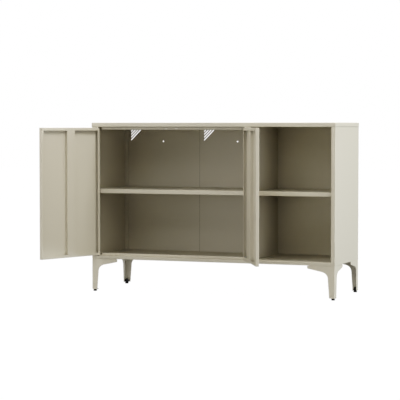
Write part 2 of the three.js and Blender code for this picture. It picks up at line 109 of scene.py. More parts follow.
class SheetSettings(bpy.types.PropertyGroup):
    """How the steel is folded."""

    thickness: FloatProperty(
        name="Sheet", description="Thickness of the carcass and door steel", unit="LENGTH",
        default=0.8 * MM, min=0.1 * MM)
    fold: FloatProperty(
        name="Fold", description="Outer radius of the folds", unit="LENGTH",
        default=1.4 * MM, min=0.1 * MM)
    cap_fold: FloatProperty(
        name="Top Fold", description="Outer radius of the top panel's folds", unit="LENGTH",
        default=2.2 * MM, min=0.1 * MM)
    leg_sheet: FloatProperty(
        name="Leg Sheet", description="Thickness of the legs' steel", unit="LENGTH",
        default=1.5 * MM, min=0.1 * MM)
    leg_fold: FloatProperty(
        name="Leg Fold", description="Outer radius of the legs' fold", unit="LENGTH",
        default=3 * MM, min=0.1 * MM)
    edge_break: FloatProperty(
        name="Edge Break", description="Softening of the cut edges", unit="LENGTH",
        default=0.12 * MM, min=0)
    fold_steps: IntProperty(
        name="Fold Steps", description="Faces round each fold", default=6, min=2, max=16)


class PanelSettings(bpy.types.PropertyGroup):
    """Widths of lips, flanges and stiffeners."""

    cap_lip: FloatProperty(
        name="Top Lip", description="Return under the top panel's skirt", unit="LENGTH",
        default=18 * MM, min=MM)
    base_lip: FloatProperty(
        name="Base Lip", description="Return under the bottom panel", unit="LENGTH",
        default=15 * MM, min=MM)
    shelf_lip: FloatProperty(
        name="Shelf Lip", description="Return under each shelf", unit="LENGTH",
        default=14 * MM, min=MM)
    door_lip: FloatProperty(
        name="Door Lip", description="Return round the back of each door", unit="LENGTH",
        default=13 * MM, min=MM)
    crown: FloatProperty(
        name="Stiffener Crown", description="Width of the door stiffener's crown",
        unit="LENGTH", default=50 * MM, min=MM)
    crease: FloatProperty(
        name="Crease", description="Outer fold to the crease down each front flange",
        unit="LENGTH", default=8 * MM, min=MM)
    crease_depth: FloatProperty(
        name="Crease Depth", description="Depth of that crease", unit="LENGTH",
        default=1.0 * MM, min=0)
    flange_return: FloatProperty(
        name="Flange Return", description="Depth of the return behind each front flange",
        unit="LENGTH", default=12 * MM, min=MM)
    rear_flange: FloatProperty(
        name="Rear Flange", description="Width of each upright's rear flange",
        unit="LENGTH", default=15 * MM, min=MM)


class LegSettings(bpy.types.PropertyGroup):
    """Shape of the folded legs and their feet."""

    foot: FloatProperty(
        name="Foot Width", description="Width of a leg's face at its lower end",
        unit="LENGTH", default=26 * MM, min=MM)
    knee: FloatProperty(
        name="Knee Width", description="Width of a leg's face under its shoulder",
        unit="LENGTH", default=33 * MM, min=MM)
    knee_height: FloatProperty(
        name="Knee Height", description="Height at which the shoulder's sweep begins",
        unit="LENGTH", default=100 * MM, min=MM)
    sweep: FloatProperty(
        name="Sweep", description="Reach at which the sweep meets the shoulder's straight edge",
        unit="LENGTH", default=60 * MM, min=MM)
    plate: FloatProperty(
        name="Mounting Plate", description="Reach of the plate at a leg's top",
        unit="LENGTH", default=62 * MM, min=MM)
    seam: FloatProperty(
        name="Seam", description="Shadow gap between a leg's faces and the cabinet",
        unit="LENGTH", default=1.2 * MM, min=0)
    flutes: IntProperty(
        name="Flutes", description="Grip flutes round each levelling pad", default=24, min=3)


class StageSettings(bpy.types.PropertyGroup):
    """Camera and studio lights."""

    lens: FloatProperty(
        name="Lens", description="Focal length on a 36 mm sensor", default=142.2, min=1)
    eye: FloatVectorProperty(
        name="Eye", description="Camera from the carcass's centre on the floor",
        subtype="TRANSLATION", unit="LENGTH", default=(2.555, -7.046, 0.787))
    turn: FloatProperty(
        name="Turn", description="Camera's turn to the left of straight on",
        subtype="ANGLE", default=math.radians(20.83))
    tilt: FloatProperty(
        name="Tilt", description="Camera's tilt below level", subtype="ANGLE",
        default=math.radians(2.684))
    backdrop: FloatVectorProperty(
        name="Backdrop", description="Colour behind the object", subtype="COLOR",
        default=(1.0, 1.0, 1.0), min=0, max=1)
    ambient: FloatProperty(
        name="Sky", description="Strength of the soft light from all round above",
        default=0.36, min=0)
    lamp_power: FloatProperty(
        name="Lamp Power", description="Power of a softbox whose share is one", unit="POWER",
        default=72.5, min=0)
    lamp_distance: FloatProperty(
        name="Lamp Distance", description="From the cabinet's middle to each softbox",
        unit="LENGTH", default=4, min=0.5)
    lamp_size: FloatProperty(
        name="Lamp Size", description="Side of each square softbox", unit="LENGTH",
        default=1.6, min=0.1)
    warm: FloatVectorProperty(
        name="Front Tint", description="Colour of the softboxes in front", subtype="COLOR",
        default=(1.0, 0.972, 0.927), min=0, max=1)
    cool: FloatVectorProperty(
        name="Side Tint", description="Colour of the softbox beside the cabinet",
        subtype="COLOR", default=(0.88, 0.945, 1.0), min=0, max=1)


# Softboxes: name, degrees to the right of straight on, degrees above level, share of the power.
LAMPS = (
    ("left_fill", -45, 0, 0.165),
    ("front_fill", -20, 0, 0.041),
    ("right_key", 60, 0, 0.423),
    ("right_side", 115, 0, 0.955),
    ("high_left", -70, 30, 0.72),
    ("high_front", 0, 30, 0.17),
    ("top_front", 0, 60, 0.3),
    ("overhead_right", 80, 60, 1.844),
    ("floor_bounce", 0, -30, 0.22),
)
# Tone curve of the view: scene brightness against shown brightness.
TONES = (
    (0.0156, 0.01), (0.026, 0.02), (0.035, 0.03), (0.0509, 0.05), (0.0708, 0.08),
    (0.0832, 0.1), (0.1153, 0.15), (0.148, 0.2), (0.2133, 0.3), (0.286, 0.4),
    (0.3734, 0.5), (0.4755, 0.6), (0.5922, 0.7), (0.7205, 0.8), (0.8566, 0.9),
)


# Materials.

def add_node(tree, kind, place, **inputs):
    """A node of that kind with some of its inputs set."""
    node = tree.nodes.new(kind)
    node.location = place
    for name, value in inputs.items():
        node.inputs[name.replace("_", " ")].default_value = value
    return node


def finish_base(name):
    """A new material with its shader, output and object coordinates."""
    material = bpy.data.materials.new(name)
    material.use_nodes = True
    tree = material.node_tree
    tree.nodes.clear()
    shader = add_node(tree, "ShaderNodeBsdfPrincipled", (300, 0))
    output = add_node(tree, "ShaderNodeOutputMaterial", (600, 0))
    tree.links.new(shader.outputs["BSDF"], output.inputs["Surface"])
    coords = add_node(tree, "ShaderNodeTexCoord", (-900, 0))
    return material, tree, shader, coords


def drifting_colour(tree, shader, coords, colour, share, scale):
    """Base colour that drifts a little lighter and darker over the surface."""
    cloud = add_node(tree, "ShaderNodeTexNoise", (-600, 250), Scale=scale, Detail=4.0)
    tree.links.new(coords.outputs["Object"], cloud.inputs["Vector"])
    ramp = add_node(tree, "ShaderNodeValToRGB", (-350, 250))
    darker = [channel * (1 - share) for channel in colour]
    lighter = [min(1.0, channel * (1 + share)) for channel in colour]
    ramp.color_ramp.elements[0].position = 0.3
    ramp.color_ramp.elements[0].color = (*darker, 1)
    ramp.color_ramp.elements[1].position = 0.7
    ramp.color_ramp.elements[1].color = (*lighter, 1)
    tree.links.new(cloud.outputs["Fac"], ramp.inputs["Fac"])
    tree.links.new(ramp.outputs["Color"], shader.inputs["Base Color"])


def drifting_roughness(tree, shader, coords, low, high, scale):
    """Roughness that drifts between two values."""
    cloud = add_node(tree, "ShaderNodeTexNoise", (-600, -50), Scale=scale, Detail=3.0)
    tree.links.new(coords.outputs["Object"], cloud.inputs["Vector"])
    spread = add_node(
        tree, "ShaderNodeMapRange", (-350, -50),
        From_Min=0.3, From_Max=0.7, To_Min=low, To_Max=high)
    tree.links.new(cloud.outputs["Fac"], spread.inputs["Value"])
    tree.links.new(spread.outputs["Result"], shader.inputs["Roughness"])


def rippled(tree, shader, coords, ripples, fine, depth):
    """Orange-peel ripples with a finer speckle on them."""
    wide = add_node(tree, "ShaderNodeTexNoise", (-600, -350), Scale=ripples, Detail=1.5)
    speckle = add_node(tree, "ShaderNodeTexNoise", (-600, -600), Scale=fine, Detail=2.0)
    both = add_node(tree, "ShaderNodeMath", (-350, -450))
    both.operation = "MULTIPLY_ADD"
    both.inputs[1].default_value = 0.3
    bump = add_node(tree, "ShaderNodeBump", (-100, -350), Strength=1.0, Distance=depth)
    for noise in (wide, speckle):
        tree.links.new(coords.outputs["Object"], noise.inputs["Vector"])
    tree.links.new(speckle.outputs["Fac"], both.inputs[0])
    tree.links.new(wide.outputs["Fac"], both.inputs[2])
    tree.links.new(both.outputs["Value"], bump.inputs["Height"])
    tree.links.new(bump.outputs["Normal"], shader.inputs["Normal"])


def powder_coat(coat):
    """Satin powder coat with orange-peel ripples."""
    material, tree, shader, coords = finish_base("powder_coat")
    drifting_colour(tree, shader, coords, coat.colour, coat.tone, 5.0)
    drifting_roughness(
        tree, shader, coords, coat.roughness - 0.04, coat.roughness + 0.05, 60.0)
    rippled(tree, shader, coords, 1 / coat.grain, 4 / coat.grain, coat.grain_depth)
    shader.inputs["Specular IOR Level"].default_value = 0.45
    return material


def zinc_plate(coat):
    """Bright zinc plate with a faint spangle."""
    material, tree, shader, coords = finish_base("zinc_plate")
    drifting_colour(tree, shader, coords, coat.zinc, 0.08, 220.0)
    drifting_roughness(tree, shader, coords, 0.28, 0.44, 400.0)
    rippled(tree, shader, coords, 900.0, 3000.0, 0.01 * MM)
    shader.inputs["Metallic"].default_value = 1.0
    return material


def moulded(name, colour, roughness, grain):
    """Moulded plastic with a fine spark texture."""
    material, tree, shader, coords = finish_base(name)
    drifting_colour(tree, shader, coords, colour, 0.12, 90.0)
    drifting_roughness(tree, shader, coords, roughness - 0.06, roughness + 0.06, 300.0)
    rippled(tree, shader, coords, 1 / grain, 3 / grain, 0.03 * MM)
    return material


def materials():
    """The four finishes by their slot in the record, made once."""
    coat = bpy.context.scene.sideboard_coat
    made = {
        "powder_coat": ("powder_coat", lambda: powder_coat(coat)),
        "zinc_steel": ("zinc_plate", lambda: zinc_plate(coat)),
        "black_plastic": (
            "black_plastic", lambda: moulded("black_plastic", coat.black, 0.52, 0.5 * MM)),
        "nylon": ("nylon", lambda: moulded("nylon", coat.nylon, 0.42, 0.7 * MM)),
    }
    found = {}
    for slot, (name, make) in made.items():
        found[slot] = bpy.data.materials.get(name) or make()
    return found


def coat_node(node):
    """Gives a carried-over node the finish of its slot."""
    slots = {row["node"]: row["material_slot"] for row in frame["record"]["subparts"]}
    finish = materials()[slots[node]]
    held = frame["nodes"][node].data.materials
    if not held:
        held.append(finish)
    for i in range(len(held)):
        held[i] = finish


# Mesh tools.

def new_piece(name, bm, body, slot, nodes=(), matrix=None):
    """An object from a bmesh, riding on its body with its finish."""
    if matrix is not None:
        bm.transform(matrix)
        if matrix.determinant() < 0:
            bmesh.ops.reverse_faces(bm, faces=bm.faces)
    mesh = bpy.data.meshes.new(name)
    bm.to_mesh(mesh)
    bm.free()
    mesh.materials.append(materials()[slot])
    piece = bpy.data.objects.new(name, mesh)
    bpy.context.scene.collection.objects.link(piece)
    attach(piece, body)
    if nodes:
        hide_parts(*nodes)
    return piece


def settle(piece, cutters=(), thickness=0.0, edge=None):
    """Thickens, cuts and softens a piece, then keeps the result as its mesh."""
    if thickness:
        solid = piece.modifiers.new("thickness", "SOLIDIFY")
        solid.thickness = thickness
        solid.offset = -1
        solid.use_even_offset = True
        solid.use_quality_normals = True
    for cutter in cutters:
        cut = piece.modifiers.new("cut", "BOOLEAN")
        cut.operation = "DIFFERENCE"
        cut.solver = "EXACT"
        cut.object = cutter
    sheet = bpy.context.scene.sideboard_sheet
    soft = piece.modifiers.new("edge", "BEVEL")
    soft.width = sheet.edge_break if edge is None else edge
    soft.segments = 2
    soft.limit_method = "ANGLE"
    soft.angle_limit = math.radians(40)
    even = piece.modifiers.new("normals", "WEIGHTED_NORMAL")
    even.keep_sharp = True
    bpy.context.view_layer.update()
    graph = bpy.context.evaluated_depsgraph_get()
    mesh = bpy.data.meshes.new_from_object(piece.evaluated_get(graph))
    old = piece.data
    piece.modifiers.clear()
    piece.data = mesh
    bpy.data.meshes.remove(old)
    for cutter in cutters:
        bpy.data.objects.remove(cutter)
    mesh.name = piece.name
    return piece


def smooth(piece, degrees=35):
    """Shades a turned or moulded piece smooth except across its sharp edges."""
    piece.data.shade_smooth()
    piece.data.set_sharp_from_angle(angle=math.radians(degrees))
    return piece


def face_towards(bm, points, facing):
    """A face through shared corners, turned to face that way."""
    corners = []
    for point in points:
        near = [v for v in bm.verts if (v.co - Vector(point)).length < 1e-7]
        corners.append(near[0] if near else bm.verts.new(point))
    face = bm.faces.new(corners)
    face.normal_update()
    if face.normal.dot(Vector(facing)) < 0:
        face.normal_flip()
    return face


def round_folds(bm, radius, steps):
    """Rounds each edge where two faces meet at an angle."""
    bm.normal_update()
    folds = [e for e in bm.edges if len(e.link_faces) == 2 and e.calc_face_angle() > 0.3]
    bmesh.ops.bevel(
        bm, geom=folds, offset=radius, offset_type="OFFSET", segments=steps,
        profile=0.5, affect="EDGES", clamp_overlap=True)
    for face in bm.faces:
        face.smooth = True


def pan_skin(low, high, axis, way, lip, radius):
    """The outer skin of a folded pan, open on one side up to a lip all round."""
    bm = bmesh.new()
    u, v = [i for i in range(3) if i != axis]
    base, rim = (low, high) if way > 0 else (high, low)

    def corner(i, j, level, inset=0.0):
        point = Vector()
        point[u] = high[u] - inset if i else low[u] + inset
        point[v] = high[v] - inset if j else low[v] + inset
        point[axis] = level[axis]
        return point

    out = Vector()
    out[axis] = way
    turns = [(0, 0), (1, 0), (1, 1), (0, 1)]
    face_towards(bm, [corner(i, j, base) for i, j in turns], -out)
    middle = (Vector(low) + Vector(high)) / 2
    for first, second in zip(turns, turns[1:] + turns[:1]):
        wall = [corner(*first, base), corner(*second, base),
                corner(*second, rim), corner(*first, rim)]
        outward = (wall[0] + wall[1]) / 2 - middle
        outward[axis] = 0
        face_towards(bm, wall, outward)
        face_towards(
            bm, [corner(*first, rim), corner(*second, rim),
                 corner(*second, rim, lip), corner(*first, rim, lip)], out)
    round_folds(bm, radius, bpy.context.scene.sideboard_sheet.fold_steps)
    return bm


def sheet_outline(corners, radius, thickness, steps=6):
    """Closed outline of folded sheet in section: a centre line with round bends."""
    points = [Vector(corner[:2]) for corner in corners]
    radii = [corner[2] if len(corner) > 2 else radius for corner in corners]
    spine = [(points[0], (points[1] - points[0]).normalized())]
    for before, point, after, r in zip(points, points[1:], points[2:], radii[1:]):
        into = (point - before).normalized()
        out = (after - point).normalized()
        turn = math.atan2(into.cross(out), into.dot(out))
        start = point - into * r * math.tan(abs(turn) / 2)
        centre = start + Vector((-into.y, into.x)) * math.copysign(r, turn)
        for k in range(steps + 1):
            spin = Matrix.Rotation(turn * k / steps, 2)
            spine.append((centre + spin @ (start - centre), spin @ into))
    spine.append((points[-1], (points[-1] - points[-2]).normalized()))
    half = thickness / 2
    near = [p + Vector((-a.y, a.x)) * half for p, a in spine]
    far = [p - Vector((-a.y, a.x)) * half for p, a in reversed(spine)]
    return near + far


def prism(outline, place):
    """A closed solid from an outline, with place(u, v, end) giving its two ends."""
    bm = bmesh.new()
    ends = [[bm.verts.new(place(u, v, end)) for u, v in outline] for end in (0, 1)]
    bm.faces.new(ends[0])
    bm.faces.new(reversed(ends[1]))
    count = len(outline)
    for i in range(count):
        k = (i + 1) % count
        side = bm.faces.new([ends[0][k], ends[0][i], ends[1][i], ends[1][k]])
        side.smooth = True
    bmesh.ops.recalc_face_normals(bm, faces=bm.faces)
    return bm


def upright_prism(outline, z0, z1, at=(0, 0)):
    """An outline in plan, run upwards."""
    return prism(outline, lambda u, v, end: (at[0] + u, at[1] + v, z1 if end else z0))


def turned(profile, centre, steps=40, flutes=0, flute_depth=0.0):
    """A round piece about a vertical axis, from [radius, height] points."""
    bm = bmesh.new()
    rings = []
    for radius, height in profile:
        if radius < 1e-9:
            rings.append([bm.verts.new((centre[0], centre[1], height))])
            continue
        ring = []
        for i in range(steps):
            angle = 2 * math.pi * i / steps
            r = radius + flute_depth * min(0.0, math.cos(flutes * angle)) * bool(flutes)
            ring.append(bm.verts.new(
                (centre[0] + r * math.cos(angle), centre[1] + r * math.sin(angle), height)))
        rings.append(ring)
    pairs = list(zip(rings, rings[1:]))
    if profile[0][0] > 1e-9 and profile[-1][0] > 1e-9:
        pairs.append((rings[-1], rings[0]))
    for lower, upper in pairs:
        for i in range(steps):
            k = (i + 1) % steps
            if len(lower) == 1:
                bm.faces.new([lower[0], upper[k], upper[i]])
            elif len(upper) == 1:
                bm.faces.new([lower[i], lower[k], upper[0]])
            else:
                bm.faces.new([lower[i], lower[k], upper[k], upper[i]])
    bmesh.ops.recalc_face_normals(bm, faces=bm.faces)
    for face in bm.faces:
        face.smooth = True
    return bm


def cutter_from(bm):
    """A hidden solid that only cuts others."""
    mesh = bpy.data.meshes.new("cutter")
    bm.to_mesh(mesh)
    bm.free()
    cutter = bpy.data.objects.new("cutter", mesh)
    bpy.context.scene.collection.objects.link(cutter)
    cutter.hide_render = True
    return cutter


def round_cutter(centre, z0, z1, radius, steps=32):
    """A round cutter about a vertical axis."""
    profile = [(0, z0), (radius, z0), (radius, z1), (0, z1)]
    return cutter_from(turned(profile, centre, steps))


def block_cutter(low, high):
    """A box cutter from its low and high corners."""
    bm = bmesh.new()
    bmesh.ops.create_cube(bm, size=1)
    size = Vector(high) - Vector(low)
    middle = (Vector(high) + Vector(low)) / 2
    bm.transform(Matrix.Translation(middle) @ Matrix.Diagonal((*size, 1)))
    return cutter_from(bm)


def middle_of(node):
    """Plan centre of a node's box."""
    low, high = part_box(node)
    return ((low.x + high.x) / 2, (low.y + high.y) / 2)


# Carcass.

def bay_face(end):
    """Height of the top or the bottom panel's face towards the doors."""
    if end == "top":
        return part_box("top_panel")[0].z
    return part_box("bottom_panel")[1].z


def bush_holes(end):
    """Cutters for the hinge bushes through the top or the bottom panel."""
    clearance = 0.2 * MM
    holes = []
    for side in SIDES:
        node = f"hinge_bush_{side}_{end}"
        radius = BUSH_RADIUS + clearance
        reach = 2 * MM
        level = bay_face(end)
        holes.append(round_cutter(middle_of(node), level - reach, level + reach, radius))
    return holes


class SIDEBOARD_OT_top_panel(bpy.types.Operator):
    """Builds the folded top panel"""

    bl_idname = "sideboard.top_panel"
    bl_label = "Top Panel"

    def execute(self, context):
        sheet = context.scene.sideboard_sheet
        panel = context.scene.sideboard_panel
        low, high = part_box("top_panel")
        bm = pan_skin(low, high, 2, -1, panel.cap_lip, sheet.cap_fold)
        piece = new_piece("cap_sheet", bm, "carcass", "powder_coat", ["top_panel"])
        settle(piece, bush_holes("top"), sheet.thickness)
        return {"FINISHED"}


class SIDEBOARD_OT_bottom_panel(bpy.types.Operator):
    """Builds the folded bottom panel, notched round the side panels' flanges"""

    bl_idname = "sideboard.bottom_panel"
    bl_label = "Bottom Panel"

    def execute(self, context):
        sheet = context.scene.sideboard_sheet
        panel = context.scene.sideboard_panel
        low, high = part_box("bottom_panel")
        bm = pan_skin(low, high, 2, -1, panel.base_lip, sheet.fold)
        piece = new_piece("floor_sheet", bm, "carcass", "powder_coat", ["bottom_panel"])
        notches = []
        for side in SIDES:
            notch_low, notch_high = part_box(f"{side}_side_panel")
            depth = notch_low.y + panel.flange_return + 0.3 * MM
            notches.append(block_cutter(
                (notch_low.x - 0.3 * MM, low.y - MM, low.z - MM),
                (notch_high.x + 0.3 * MM, depth, high.z + MM)))
        settle(piece, bush_holes("bottom") + notches, sheet.thickness)
        return {"FINISHED"}


def upright(node, name, flip, context):
    """A side panel or the divider: web, creased front flange with its return, rear flange."""
    sheet = context.scene.sideboard_sheet
    panel = context.scene.sideboard_panel
    low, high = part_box(node)
    half = sheet.thickness / 2
    inner = high.x - low.x - half
    back = high.y - low.y - half
    wide = panel.crease_depth * 1.4
    tight = 0.5 * MM
    section = [
        (inner, panel.flange_return), (inner, half),
        (panel.crease + wide, half, tight), (panel.crease, half + panel.crease_depth, tight),
        (panel.crease - wide, half, tight), (half, half), (half, back),
        (panel.rear_flange, back)]
    outline = sheet_outline(section, sheet.fold - half, sheet.thickness)
    bm = upright_prism(outline, low.z, bay_face("top") - HAIR)
    matrix = Matrix.Translation((high.x if flip else low.x, low.y, 0))
    if flip:
        matrix = matrix @ Matrix.Diagonal((-1, 1, 1, 1))
    piece = new_piece(name, bm, "carcass", "powder_coat", [node], matrix)
    return settle(piece)


class SIDEBOARD_OT_uprights(bpy.types.Operator):
    """Builds the two side panels and the divider"""

    bl_idname = "sideboard.uprights"
    bl_label = "Side Panels and Divider"

    def execute(self, context):
        upright("left_side_panel", "left_side_sheet", False, context)
        upright("right_side_panel", "right_side_sheet", True, context)
        upright("divider_panel", "divider_sheet", True, context)
        return {"FINISHED"}


class SIDEBOARD_OT_backs(bpy.types.Operator):
    """Finishes the back sheets, posts and door rails, and adds painted seam shadows and rivets"""

    bl_idname = "sideboard.backs"
    bl_label = "Back, Posts and Rails"

    def execute(self, context):
        for node in ("back_sheet_left", "back_sheet_middle", "back_sheet_right",
                     "slotted_post_left", "slotted_post_right",
                     "top_door_rail", "bottom_door_rail"):
            coat_node(node)
        back_top_edge()
        for seam, (before, after) in enumerate((("left", "middle"), ("middle", "right"))):
            back_seam(seam + 1, f"back_sheet_{before}", f"back_sheet_{after}")
        for side in SIDES:
            low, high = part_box(f"slotted_post_{side}")
            x = (low.x + high.x) / 2
            for i, height in enumerate(POST_RIVET_HEIGHTS):
                centre = Vector((x, low.y, height))
                rivet(f"post_rivet_{side}_{i + 1}", centre, Vector((0, -1, 0)), "carcass")
        return {"FINISHED"}


def back_top_edge():
    """The strip that closes the back sheets against the top panel's lip."""
    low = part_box("back_sheet_left")[0]
    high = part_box("back_sheet_right")[1]
    top = bay_face("top") - HAIR
    outline = [(low.x, low.y), (high.x, low.y), (high.x, high.y), (low.x, high.y)]
    edge = upright_prism(outline, high.z + HAIR, top)
    new_piece("back_top_edge", edge, "carcass", "powder_coat")


def back_seam(number, before, after):
    """A thin black strip in the joint between two back sheets: a painted shadow of the gap between them."""
    low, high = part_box(before)
    x = (high.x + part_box(after)[0].x) / 2
    half, proud = 0.5 * MM, 0.12 * MM
    front = low.y - proud
    outline = [(x - half, front), (x + half, front), (x + half, low.y - 0.02 * MM),
               (x - half, low.y - 0.02 * MM)]
    # Black plastic strip, a little proud of the sheets: painted shade where the joint's gap would cast its shadow.
    shadow_strip = upright_prism(outline, low.z + MM, high.z - MM)
    new_piece(f"back_seam_shadow_strip_{number}", shadow_strip, "carcass", "black_plastic")


def rivet(name, centre, facing, body, radius=2.4 * MM, rise=1.1 * MM):
    """A domed rivet head standing on a face, just clear of it."""
    dome = [(0, rise)]
    dome += [(radius * math.sin(a), rise * math.cos(a))
             for a in (math.radians(15 * k) for k in range(1, 7))]
    bm = turned([(0, 0.02 * MM)] + [(radius, 0.02 * MM)] + dome[::-1], (0, 0), 20)
    matrix = Matrix.Translation(centre) @ facing.to_track_quat("Z", "Y").to_matrix().to_4x4()
    return smooth(new_piece(name, bm, body, "powder_coat", (), matrix), 50)


class SIDEBOARD_OT_shelves(bpy.types.Operator):
    """Builds the two shelves and finishes their clips"""

    bl_idname = "sideboard.shelves"
    bl_label = "Shelves"

    def execute(self, context):
        sheet = context.scene.sideboard_sheet
        panel = context.scene.sideboard_panel
        for bay in SIDES:
            low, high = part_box(f"shelf_{bay}")
            bm = pan_skin(low, high, 2, -1, panel.shelf_lip, sheet.fold)
            piece = new_piece(
                f"{bay}_shelf_sheet", bm, "carcass", "powder_coat", [f"shelf_{bay}"])
            settle(piece, (), sheet.thickness)
            for end in ENDS:
                for side in SIDES:
                    coat_node(f"shelf_clip_{bay}_{end}_{side}")
        return {"FINISHED"}


# Doors.

def hinge_of(side):
    """The door's pivot and the turn, in radians, from closed to how it stands."""
    joint = JOINTS[f"{side}_door"]
    closed = max(joint["range_deg"], key=abs)
    return Vector(joint["pos_m"]), math.radians(-closed)


def door_place(side):
    """From a left-handed door, closed about its pivot, to where this door stands."""
    pivot, turn = hinge_of(side)
    hand = 1 if side == "left" else -1
    move = Matrix.Translation((pivot.x, pivot.y, 0)) @ Matrix.Rotation(turn, 4, "Z")
    return move @ Matrix.Diagonal((hand, 1, 1, 1))


def closed_box(side, node):
    """Box of a door's node when that door is closed, left-handed, about its pivot."""
    back = door_place(side).inverted()
    points = [back @ v.co for v in frame["nodes"][node].data.vertices]
    low = Vector(min(p[i] for p in points) for i in range(3))
    high = Vector(max(p[i] for p in points) for i in range(3))
    return low, high


def door_pan(side, context):
    """The door's outer sheet with its returns and lips."""
    sheet = context.scene.sideboard_sheet
    low, high = closed_box(side, f"{side}_door_pan")
    bm = pan_skin(low, high, 1, 1, context.scene.sideboard_panel.door_lip, sheet.fold)
    piece = new_piece(
        f"{side}_door_sheet", bm, f"{side}_door", "powder_coat", [f"{side}_door_pan"],
        door_place(side))
    pivot = hinge_of(side)[0]
    hole = 2.8 * MM
    reach = 3 * MM
    cutters = [
        round_cutter((pivot.x, pivot.y), z - reach, z + reach, hole) for z in (low.z, high.z)]
    return settle(piece, cutters, sheet.thickness)


def door_stiffener(side, context):
    """The hat section down the middle of the door."""
    sheet = context.scene.sideboard_sheet
    low, high = closed_box(side, f"{side}_door_stiffener")
    middle = (low.x + high.x) / 2
    half = sheet.thickness / 2
    crown = context.scene.sideboard_panel.crown / 2 - half
    section = [
        (low.x, low.y + half), (middle - crown, low.y + half),
        (middle - crown, high.y - half), (middle + crown, high.y - half),
        (middle + crown, low.y + half), (high.x, low.y + half)]
    outline = sheet_outline(section, sheet.fold - half, sheet.thickness)
    bm = upright_prism(outline, low.z, high.z)
    piece = new_piece(
        f"{side}_stiffener_sheet", bm, f"{side}_door", "powder_coat",
        [f"{side}_door_stiffener"], door_place(side))
    return settle(piece)


def door_rivets(side):
    """Small rivet heads on the upper and lower lips near the free edge."""
    low, high = closed_box(side, f"{side}_door_pan")
    place = door_place(side)
    facing = place.to_3x3() @ Vector((0, 1, 0))
    inset = 6.5 * MM
    rise = 0.4 * MM
    spots = [(from_edge, high.z - inset) for from_edge in TOP_LIP_RIVETS]
    spots += [(from_edge, low.z + inset) for from_edge in BOTTOM_LIP_RIVETS]
    for i, (from_edge, z) in enumerate(spots):
        centre = place @ Vector((high.x - from_edge, high.y, z))
        rivet(
            f"{side}_door_rivet_{i + 1}", centre, facing, f"{side}_door", 1.8 * MM, rise)


def hinge_pin(side, end):
    """A turned hinge pin with its collar and chamfered tip."""
    node = f"{side}_door_{end}_pin"
    low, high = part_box(node)
    outer = 1 if end == "top" else -1
    tip, tail = (high.z, low.z) if end == "top" else (low.z, high.z)
    pan_low, pan_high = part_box(f"{side}_door_pan")
    wall = pan_high.z if end == "top" else pan_low.z
    head = wall - outer * 1.1 * MM
    r, collar, bevel = PIN_RADIUS, 3.3 * MM, 0.5 * MM
    profile = [
        (0, tail), (r - bevel, tail), (r, tail + outer * bevel), (r, head - outer * 2 * MM),
        (collar - 0.3 * MM, head - outer * 2 * MM), (collar, head - outer * 1.7 * MM),
        (collar, head), (r, head), (r, tip - outer * bevel), (r - bevel, tip), (0, tip)]
    bm = turned(profile, middle_of(node), 32)
    smooth(new_piece(f"{side}_{end}_hinge_pin", bm, f"{side}_door", "zinc_steel", [node]))


class SIDEBOARD_OT_doors(bpy.types.Operator):
    """Builds both doors as they stand open, with stiffeners, rivets and hinge pins"""

    bl_idname = "sideboard.doors"
    bl_label = "Doors"

    def execute(self, context):
        for side in SIDES:
            door_pan(side, context)
            door_stiffener(side, context)
            door_rivets(side)
            for end in ("top", "bottom"):
                hinge_pin(side, end)
        return {"FINISHED"}


def hinge_bush(side, end):
    """A nylon bush with its thrust flange towards the door."""
    node = f"hinge_bush_{side}_{end}"
    low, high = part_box(node)
    bore, wall, flange = BUSH_BORE, BUSH_RADIUS, (high.x - low.x) / 2
    away = 1 if end == "top" else -1
    near, far = (low.z, high.z) if end == "top" else (high.z, low.z)
    thick = abs(bay_face(end) - near) - 0.1 * MM
    soft = 0.15 * MM
    profile = [
        (bore + soft, near), (flange - soft, near), (flange, near + away * soft),
        (flange, near + away * thick), (wall, near + away * thick), (wall, far), (bore, far),
        (bore, near + away * soft)]
    bm = turned(profile, middle_of(node), 36)
    smooth(new_piece(f"{side}_{end}_bush", bm, "carcass", "nylon", [node]))


class SIDEBOARD_OT_hinges(bpy.types.Operator):
    """Builds the hinge bushes and finishes the magnetic catches"""

    bl_idname = "sideboard.hinges"
    bl_label = "Bushes and Catches"

    def execute(self, context):
        for side in SIDES:
            coat_node(f"magnetic_catch_{side}")
            for end in ("top", "bottom"):
                hinge_bush(side, end)
        return {"FINISHED"}


# Legs and feet.

def leg_outline(low, high, leg):
    """One face of a leg, as distance from its corner against height."""
    reach = high.x - low.x
    foot_z, top = low.z, high.z - leg.seam
    shoulder = high.z - 13 * MM
    knee = Vector((leg.knee, leg.knee_height))
    pull = Vector((leg.knee + 3 * MM, leg.knee_height + 21 * MM))
    meet = Vector((leg.sweep, leg.knee_height + 27.5 * MM))
    points = [(0, foot_z), (leg.foot, foot_z)]
    points += bezier(knee, pull, meet, 10)
    points += bezier(
        Vector((reach - 4 * MM, shoulder - MM)), Vector((reach, shoulder)),
        Vector((reach, shoulder + 4 * MM)), 4)
    points += [(reach, top), (0, top)]
    return points


def bezier(start, pull, end, steps):
    """Points along a quadratic curve."""
    points = []
    for k in range(steps + 1):
        t = k / steps
        points.append(tuple(start * (1 - t) ** 2 + pull * 2 * t * (1 - t) + end * t * t))
    return points


def leg_place(end, side):
    """From a leg built at the front left corner to this one's corner."""
    low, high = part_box(f"leg_{end}_{side}")
    sx = 1 if side == "left" else -1
    sy = 1 if end == "front" else -1
    corner = (low.x if sx > 0 else high.x, low.y if sy > 0 else high.y, 0)
    return Matrix.Translation(corner) @ Matrix.Diagonal((sx, sy, 1, 1))


